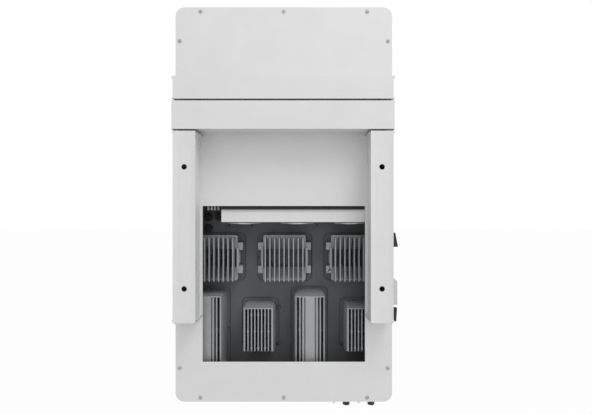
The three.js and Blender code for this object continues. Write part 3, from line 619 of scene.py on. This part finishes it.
# ---------------------------------------------------------------- cooling duct
@dataclass
class CoolingDuct:
    """The chassis casting's floor with its bosses, the sinks and pots on it, and the fan tray."""

    boss: float = 5.0
    boss_height: float = 2.0
    boss_places: Sequence[tuple[float, float]] = ((-168.8, -597.5), (-18.0, -540.1), (-18.0, -647.9), (171.3, -646.5))
    socket_screws: Sequence[float] = (-167.0, -97.1, 96.4)
    socket_height: float = -296.0
    fan_rings: Sequence[float] = (14.0, 24.0, 34.0, 43.5)

    def build(self) -> None:
        """Builds everything that the cooling air passes."""
        # The chassis's dark grey is partly painted shade of the deep duct.
        soften("chassis_casting", "chassis_casting_rounded", CASTING, radius_mm=1.6)
        for place in ("left", "centre", "right"):
            self._sink(f"heat_sink_{place}")
        for place in ("tall_left", "short_left", "tall_right", "short_right"):
            self._pot(f"choke_pot_{place}", place.startswith("tall"))
        self._floor_bosses()
        self._tray()
        for place in ("left", "centre", "right"):
            self._fan(place)
        self._glands()
        self._fan_leads()

    def _sink(self, node: str) -> None:
        """Rounds one sink's fins and raises the pad between the lugs of each side."""
        soften(node, f"{node}_cast", FINS, radius_mm=0.6)
        low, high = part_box(node)
        middle = (low + high) / 2
        front = high.y - 42 * MM
        maker = Maker()
        for x in (low.x + 11.5 * MM, high.x - 11.5 * MM):
            maker.box((x - 3.5 * MM, front, middle.z - 15 * MM), (x + 3.5 * MM, front + 6 * MM, middle.z + 15 * MM))
        maker.place(f"{node}_pads", FINS, bevel_mm=1.2)

    def _pot(self, node: str, tall: bool) -> None:
        """Rounds one pot, and adds the ejector marks on its fins."""
        soften(node, f"{node}_cast", FINS, radius_mm=0.8)
        low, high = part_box(node)
        x = (low.x + high.x) / 2
        maker = Maker()
        if tall:
            rows = ((19.6, 54.6), (29.1, 99.6), (19.6, 146.0))
            marks = [(side * offset, high.z - drop * MM) for side in (-1, 1) for offset, drop in rows]
        else:
            outer = [(offset, high.z - drop * MM) for offset in (-19.2, 0, 19.2) for drop in (24.7, 118.4)]
            inner = [(offset, high.z - 71.7 * MM) for offset in (-28.8, -9.6, 9.6, 28.8)]
            marks = outer + inner
        for offset, z in marks:
            maker.lathe(
                [(0, 0), (2.9, 0), (2.9, 4.6), (2.3, 5.2), (0, 5.2)],
                Vector((x + offset * MM, low.y + 5.3 * MM, z)), (0, -1, 0), 16,
            )
        maker.place(f"{node}_ejector_marks", FINS)

    def _floor_bosses(self) -> None:
        """Raises four screw bosses between the pots, and sets three socket screws above the sinks."""
        maker = Maker()
        screws = Maker()
        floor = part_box("duct_gland_plate")[1].y + 0.3 * MM
        for x, z in self.boss_places:
            self._boss(maker, screws, x * MM, floor, z * MM)
        maker.place("floor_bosses", CASTING)
        screws.place("floor_boss_screws", CASTING)
        # The socket screws' black is partly painted shade, standing for the dark holes in the floor here; their sockets
        # are real recesses.
        sockets = Maker()
        for x in self.socket_screws:
            sockets.lathe(
                [(0, -1), (2.75, -1), (2.75, 2.6), (2.3, 3.0), (1.4, 3.0), (1.2, 1.4), (0, 1.4)],
                Vector((x * MM, floor, self.socket_height * MM)), (0, -1, 0), 16,
            )
        sockets.place("floor_socket_screws", BLACK)

    def _boss(self, maker: Maker, screws: Maker, x: float, floor: float, z: float) -> None:
        """Adds one boss with a flared foot, and its screw head."""
        r, h = self.boss, self.boss_height
        foot = Vector((x, floor + 3.4 * MM, z))
        maker.lathe([(0, 0), (r + 2.2, 0), (r + 1.6, 3.6), (r + 0.5, 4.6), (r, 6), (r - 0.4, h + 3.0), (0, h + 3.4)],
                    foot, (0, -1, 0), 20)
        PanHead(3.6, 2.0, 1.2, 4.4).add(screws, foot - Vector((0, (h + 3.2) * MM, 0)), (0, -1, 0))

    def _tray(self) -> None:
        """Rounds the tray's folds, and adds the hem along its face and the lips under its fan openings."""
        soften("fan_tray", "fan_tray_folded", PAINT, radius_mm=0.6)
        low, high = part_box("fan_tray")
        maker = Maker()
        maker.box((low.x + 0.5 * MM, low.y - 0.8 * MM, high.z - 6 * MM), (high.x - 0.5 * MM, low.y + 0.3 * MM, high.z))
        maker.place("fan_tray_hem", PAINT, bevel_mm=0.3)
        lips = Maker()
        for place in ("left", "centre", "right"):
            frame_low, frame_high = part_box(f"fan_frame_{place}")
            middle = (frame_low + frame_high) / 2
            ring = [
                Vector((middle.x + x, middle.y + y, low.z - 3.2 * MM)) for x, y in arc(0, 0, 48.2 * MM, 0, 354, 59)
            ]
            lips.tube(ring, 1.1, 8, closed=True)
        lips.place("fan_tray_lips", PAINT)

    def _fan(self, place: str) -> None:
        """Finishes one fan: its frame, its rotor and a wire guard under it."""
        soften(f"fan_frame_{place}", f"fan_frame_{place}_moulded", BLACK, radius_mm=0.5)
        soften(f"fan_rotor_{place}", f"fan_rotor_{place}_moulded", BLACK, f"rotor_{place}", radius_mm=0.3)
        low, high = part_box(f"fan_frame_{place}")
        centre = Vector(((low.x + high.x) / 2, (low.y + high.y) / 2, low.z - 1.0 * MM))
        maker = Maker()
        for index, radius in enumerate(self.fan_rings):
            drop = Vector((0, 0, 0 if index == len(self.fan_rings) - 1 else -0.6 * MM))
            ring = [centre + drop + Vector((x, y, 0)) for x, y in arc(0, 0, radius * MM, 0, 351, 39)]
            maker.tube(ring, 0.8, 6, closed=True)
        for turn in (45, 135, 225, 315):
            ray = Vector((math.cos(math.radians(turn)), math.sin(math.radians(turn)), 0))
            maker.tube([centre + ray * 14 * MM, centre + ray * 46 * MM], 0.9, 6)
        maker.place(f"fan_guard_{place}", STEEL)

    def _glands(self) -> None:
        """Dresses the duct glands: their CAD bodies rounded, with seals in their mouths, on their dark plate."""
        # The gland plate takes the same dark grey, which is partly painted shade of the duct.
        soften("duct_gland_plate", "duct_gland_plate_cast", CASTING, radius_mm=0.6)
        for index in (1, 2, 3):
            gland_with_ribs(f"duct_gland_{index}", Vector((0, -1, 0)))

    def _fan_leads(self) -> None:
        """Adds the four-way terminal strip for the fans beside the tray."""
        low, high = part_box("fan_tray")
        right = low.x - 5 * MM
        strip = Maker()
        pins = Maker()
        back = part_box("vent_grille")[1].y + 14 * MM
        for index in range(4):
            x = right - (index + 0.5) * 9.5 * MM
            strip.box((x - 2.6 * MM, back, high.z - 2 * MM), (x + 2.6 * MM, back + 12 * MM, high.z + 11 * MM))
            pins.lathe([(0, 0), (1.6, 0), (1.6, 1.2), (0.5, 1.2), (0, 0.8)],
                       Vector((x, back, high.z + 4 * MM)), (0, -1, 0), 12)
        strip.place("fan_terminal_strip", GREY, bevel_mm=0.5)
        pins.place("fan_terminal_screws", COPPER)


def gland_with_ribs(node: str, out: Vector) -> None:
    """Finishes a cable gland: its body rounded, with a seal in its mouth.

    Args:
        node: the gland's CAD node.
        out: the direction that its mouth points in.
    """
    soften(node, f"{node}_body", BLACK, radius_mm=0.5, reach=1.5)
    low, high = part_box(node)
    middle = (low + high) / 2
    half = abs((high - low).dot(out)) / 2
    radius = min((high - low)[i] for i in range(3) if abs(out[i]) < 0.5) / 2 / MM
    tip = middle + out * half
    seal = Maker()
    seal.lathe(
        [(0, -2.4), (radius * 0.42, -2.4), (radius * 0.42, -0.8), (radius * 0.3, -0.2), (0, -0.6)], tip, tuple(out), 16,
    )
    seal.place(f"{node}_seal", RUBBER)


# ---------------------------------------------------------------- sides and bottom
@dataclass
class SideFittings:
    """The rotary isolators, the side cover and what hangs from the cabinet's bottom."""

    bezel: float = 31.0
    bezel_height: float = 2.4

    def build(self) -> None:
        """Builds the handles, switch bodies, side cover, glands and studs."""
        for place in ("upper", "lower"):
            self._isolator(place)
        soften("side_cover", "side_cover_folded", PAINT, radius_mm=1.2)
        self._side_cover_screws()
        for node in ("bottom_gland_1", "bottom_gland_2", "output_gland_1", "output_gland_2"):
            gland_with_ribs(node, Vector((0, 0, -1)))
        soften("connector_panel", "connector_panel_moulded", BLACK, radius_mm=0.5)
        for index in (1, 2):
            self._stud(index)

    def _isolator(self, place: str) -> None:
        """Rounds one handle and sets it in a bezel on the cabinet's side."""
        body = f"isolator_knob_{place}"
        handle = soften(f"isolator_handle_{place}", f"isolator_handle_{place}_moulded", BLACK, body, radius_mm=1.4)
        soften(f"isolator_switch_{place}", f"isolator_switch_{place}_moulded", GREY, radius_mm=0.8)
        low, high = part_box(f"isolator_handle_{place}")
        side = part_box("front_housing")[1].x
        centre = Vector((side, (low.y + high.y) / 2, (low.z + high.z) / 2))
        ring = Maker()
        inner, outer, height = self.bezel - 6.0, self.bezel, self.bezel_height
        loop = [(outer, 0.05), (outer, height - 0.6), (outer - 0.7, height), (inner + 0.6, height), (inner, height - 0.5),
                (inner, 0.05)]
        self._ring(ring, centre, loop)
        ring.place(f"isolator_bezel_{place}", BLACK)
        marks = Maker()
        for turn in (0, 90):
            a = math.radians(turn)
            ray = Vector((0, math.sin(a), math.cos(a)))
            spot = centre + ray * (inner + 3) * MM + Vector((height * MM, 0, 0))
            marks.lathe([(0, -0.2), (1.2, -0.2), (1.2, 0.25), (0, 0.3)], spot, (1, 0, 0), 12)
        marks.place(f"isolator_dial_marks_{place}", PAINT)
        LOG.info("%s sits in its bezel", handle.name)

    def _ring(self, maker: Maker, centre: Vector, loop: Sequence[tuple[float, float]]) -> None:
        """Adds a turned ring about X whose section doesn't reach the axis."""
        sides = 48
        rings = []
        for i in range(sides):
            a = 2 * math.pi * i / sides
            ray = Vector((0, math.cos(a), math.sin(a)))
            rings.append([maker.bm.verts.new(centre + ray * r * MM + Vector((h * MM, 0, 0))) for r, h in loop])
        for first, second in zip(rings, rings[1:] + rings[:1]):
            for i in range(len(loop)):
                j = (i + 1) % len(loop)
                maker.bm.faces.new([first[i], first[j], second[j], second[i]])

    def _side_cover_screws(self) -> None:
        """Sets two screws in the side cover's outer face."""
        low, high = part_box("side_cover")
        maker = Maker()
        for z in (low.z + 12 * MM, high.z - 20 * MM):
            PanHead(3.4, 1.8, 1.1, 4.2).add(maker, Vector((high.x - 2.1 * MM, (low.y + high.y) / 2, z)), (1, 0, 0))
        maker.place("side_cover_screws", SCREW)

    def _stud(self, index: int) -> None:
        """Finishes one earth stud and adds its washer."""
        node = f"earth_stud_{index}"
        soften(node, f"{node}_ground", STEEL, radius_mm=0.4, reach=1.2)
        low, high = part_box(node)
        centre = Vector(((low.x + high.x) / 2, (low.y + high.y) / 2, low.z + 14 * MM))
        maker = Maker()
        maker.lathe([(3.1, 0.0), (6.4, 0.0), (6.4, 1.0), (3.1, 1.0), (3.1, 0.0)], centre, (0, 0, -1), 20)
        maker.place(f"{node}_washer", ZINC)


# ---------------------------------------------------------------- housing, door and inside
@dataclass
class FrontSide:
    """The front housing, its door with hinges and latches, and the fittings inside."""

    def build(self) -> None:
        """Builds the shells first and then what they hold."""
        soften("front_housing", "front_housing_folded", PAINT, radius_mm=0.9)
        soften("front_door", "front_door_folded", PAINT, "door", radius_mm=1.4)
        soften("door_gasket", "door_gasket_foam", RUBBER, "door", radius_mm=2.0)
        for place in ("upper", "lower"):
            self._hinge(place)
            soften(f"door_latch_{place}", f"door_latch_{place}_plated", ZINC, f"latch_{place}", radius_mm=0.6)
            self._latch_collar(place)
        self._inside()

    def _hinge(self, place: str) -> None:
        """Finishes one hinge and adds the screws in its leaves."""
        soften(f"fixed_hinge_leaf_{place}", f"fixed_hinge_leaf_{place}_ground", STEEL, radius_mm=0.5)
        soften(f"door_hinge_leaf_{place}", f"door_hinge_leaf_{place}_ground", STEEL, "door", radius_mm=0.5)
        soften(f"hinge_pin_{place}", f"hinge_pin_{place}_turned", STEEL, radius_mm=0.3, reach=1.2)
        low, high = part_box(f"fixed_hinge_leaf_{place}")
        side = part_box("front_housing")[0].x - 2.8 * MM
        maker = Maker()
        for z in (low.z + 15 * MM, high.z - 15 * MM):
            PanHead(3.6, 1.9, 1.2, 4.4).add(maker, Vector((side, low.y + 14 * MM, z)), (-1, 0, 0))
        maker.place(f"fixed_hinge_screws_{place}", STEEL)
        low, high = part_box(f"door_hinge_leaf_{place}")
        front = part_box("front_door")[1].y + 2.8 * MM
        maker = Maker()
        for z in (low.z + 8 * MM, high.z - 8 * MM):
            PanHead(3.2, 1.7, 1.1, 3.9).add(maker, Vector((high.x - 11 * MM, front, z)), (0, 1, 0))
        maker.place(f"door_hinge_screws_{place}", STEEL, "door")

    def _latch_collar(self, place: str) -> None:
        """Adds the thin collar that each latch turns in."""
        low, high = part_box(f"door_latch_{place}")
        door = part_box("front_door")[1].y
        centre = Vector(((low.x + high.x) / 2, door, low.z + 14 * MM))
        maker = Maker()
        maker.lathe([(14.4, 0.02), (18.0, 0.02), (18.0, 1.2), (17.2, 1.8), (14.9, 1.8), (14.4, 1.4), (14.4, 0.02)],
                    centre, (0, 1, 0), 40)
        maker.place(f"latch_collar_{place}", ZINC, "door")

    def _inside(self) -> None:
        """Finishes the plate, rail, fuses, bars, arrester and board."""
        soften("mounting_plate", "mounting_plate_plated", ZINC, radius_mm=0.4, reach=8)
        soften("din_rail", "din_rail_rolled", ZINC, radius_mm=0.25)
        soften("control_board", "control_board_coated", BOARD, radius_mm=0.3)
        soften("surge_arrester", "surge_arrester_moulded", GREY, radius_mm=1.0)
        for name in ("positive", "negative"):
            soften(f"busbar_{name}", f"busbar_{name}_drawn", COPPER, radius_mm=0.6)
        for index in (1, 2, 3):
            soften(f"fuse_holder_{index}", f"fuse_holder_{index}_moulded", GREY, radius_mm=0.4)
            soften(f"fuse_lever_{index}", f"fuse_lever_{index}_moulded", BLACK, f"lever_{index}", radius_mm=0.6)


# ---------------------------------------------------------------- studio
@dataclass
class Studio:
    """A pale floor, soft light and the camera."""

    axis_x: float = 33.7
    axis_z: float = -240.9
    distance: float = 1230.0
    focal_share: float = 471 / 592
    sky: float = 0.82
    sky_slope: tuple[float, float, float] = (0.26, 0, 0.3)
    floor_drop: float = 420.0
    floor_glow: float = 0.95

    def build(self) -> None:
        """Builds the floor, the lights and the camera."""
        self._camera()
        self._floor()
        self._world()
        self._lamp("key", (1.0, -1.3, 1.8), 1.0, 18.0)

    def _camera(self) -> None:
        """Sets a level camera square to the wall side."""
        data = bpy.data.cameras.new("camera")
        data.sensor_width = 36.0
        data.lens = data.sensor_width * self.focal_share
        data.clip_start = 0.05
        camera = bpy.data.objects.new("camera", data)
        camera.location = (self.axis_x * MM, -self.distance * MM, self.axis_z * MM)
        camera.rotation_euler = (math.pi / 2, 0, 0)
        bpy.context.scene.collection.objects.link(camera)
        bpy.context.scene.camera = camera

    def _floor(self) -> None:
        """Lays a wide floor below the hanging cabinet that the camera sees as near white."""
        z = START_BOX[0].z - self.floor_drop * MM
        bpy.ops.mesh.primitive_plane_add(size=40, location=(0, 0, z))
        floor = bpy.context.object
        floor.name = "floor"
        material = bpy.data.materials.new("floor_paper")
        material.use_nodes = True
        tree = material.node_tree
        tree.nodes.clear()
        path = add_node(tree, "ShaderNodeLightPath")
        seen = add_node(
            tree, "ShaderNodeMath", {0: path.outputs["Is Camera Ray"], 1: path.outputs["Is Glossy Ray"]},
            operation="MAXIMUM",
        )
        share = add_node(tree, "ShaderNodeMath", {0: seen.outputs[0]}, operation="MULTIPLY")
        share.inputs[1].default_value = self.floor_glow
        paper = add_node(tree, "ShaderNodeBsdfDiffuse", Color=linear("d2d2d2"))
        glow = add_node(tree, "ShaderNodeEmission", Color=(1, 1, 1, 1), Strength=1.0)
        both = add_node(
            tree, "ShaderNodeMixShader",
            {0: share.outputs[0], 1: paper.outputs["BSDF"], 2: glow.outputs["Emission"]},
        )
        add_node(tree, "ShaderNodeOutputMaterial", {"Surface": both.outputs["Shader"]})
        floor.data.materials.append(material)

    def _world(self) -> None:
        """Sets a soft sky, brighter to the right and above, that the camera and polished metal see as white."""
        world = bpy.data.worlds.new("studio")
        bpy.context.scene.world = world
        world.use_nodes = True
        tree = world.node_tree
        tree.nodes.clear()
        path = add_node(tree, "ShaderNodeLightPath")
        seen = add_node(
            tree, "ShaderNodeMath", {0: path.outputs["Is Camera Ray"], 1: path.outputs["Is Glossy Ray"]},
            operation="MAXIMUM",
        )
        place = add_node(tree, "ShaderNodeTexCoord")
        slope = add_node(tree, "ShaderNodeVectorMath", {0: place.outputs["Generated"]}, operation="DOT_PRODUCT")
        slope.inputs[1].default_value = self.sky_slope
        level = add_node(tree, "ShaderNodeMath", {0: slope.outputs["Value"]}, operation="ADD")
        level.inputs[1].default_value = self.sky
        soft = add_node(
            tree, "ShaderNodeBackground", {"Strength": level.outputs[0]}, Color=linear("ffffff"),
        )
        white = add_node(tree, "ShaderNodeBackground", Color=linear("ffffff"), Strength=1.0)
        both = add_node(
            tree, "ShaderNodeMixShader",
            {0: seen.outputs[0], 1: soft.outputs["Background"], 2: white.outputs["Background"]},
        )
        add_node(tree, "ShaderNodeOutputWorld", {"Surface": both.outputs["Shader"]})

    def _lamp(self, name: str, at: Point, size: float, power: float) -> None:
        """Hangs a square soft lamp that faces the cabinet's middle."""
        data = bpy.data.lights.new(name, "AREA")
        data.size = size
        data.energy = power
        lamp = bpy.data.objects.new(name, data)
        lamp.location = at
        lamp.rotation_euler = (Vector((0, 0.1, -0.24)) - Vector(at)).to_track_quat("-Z", "Y").to_euler()
        bpy.context.scene.collection.objects.link(lamp)


def main() -> None:
    """Builds the cabinet's sub-assemblies and the studio round it."""
    logging.basicConfig(level=logging.INFO, format="%(name)s: %(message)s")
    bpy.context.scene.view_settings.view_transform = "Standard"
    for part in (Studio(), WallFrame(), RearCover(), CoolingDuct(), SideFittings(), FrontSide()):
        LOG.info("building %s", type(part).__name__)
        part.build()


if __name__ == "__main__":
    main()
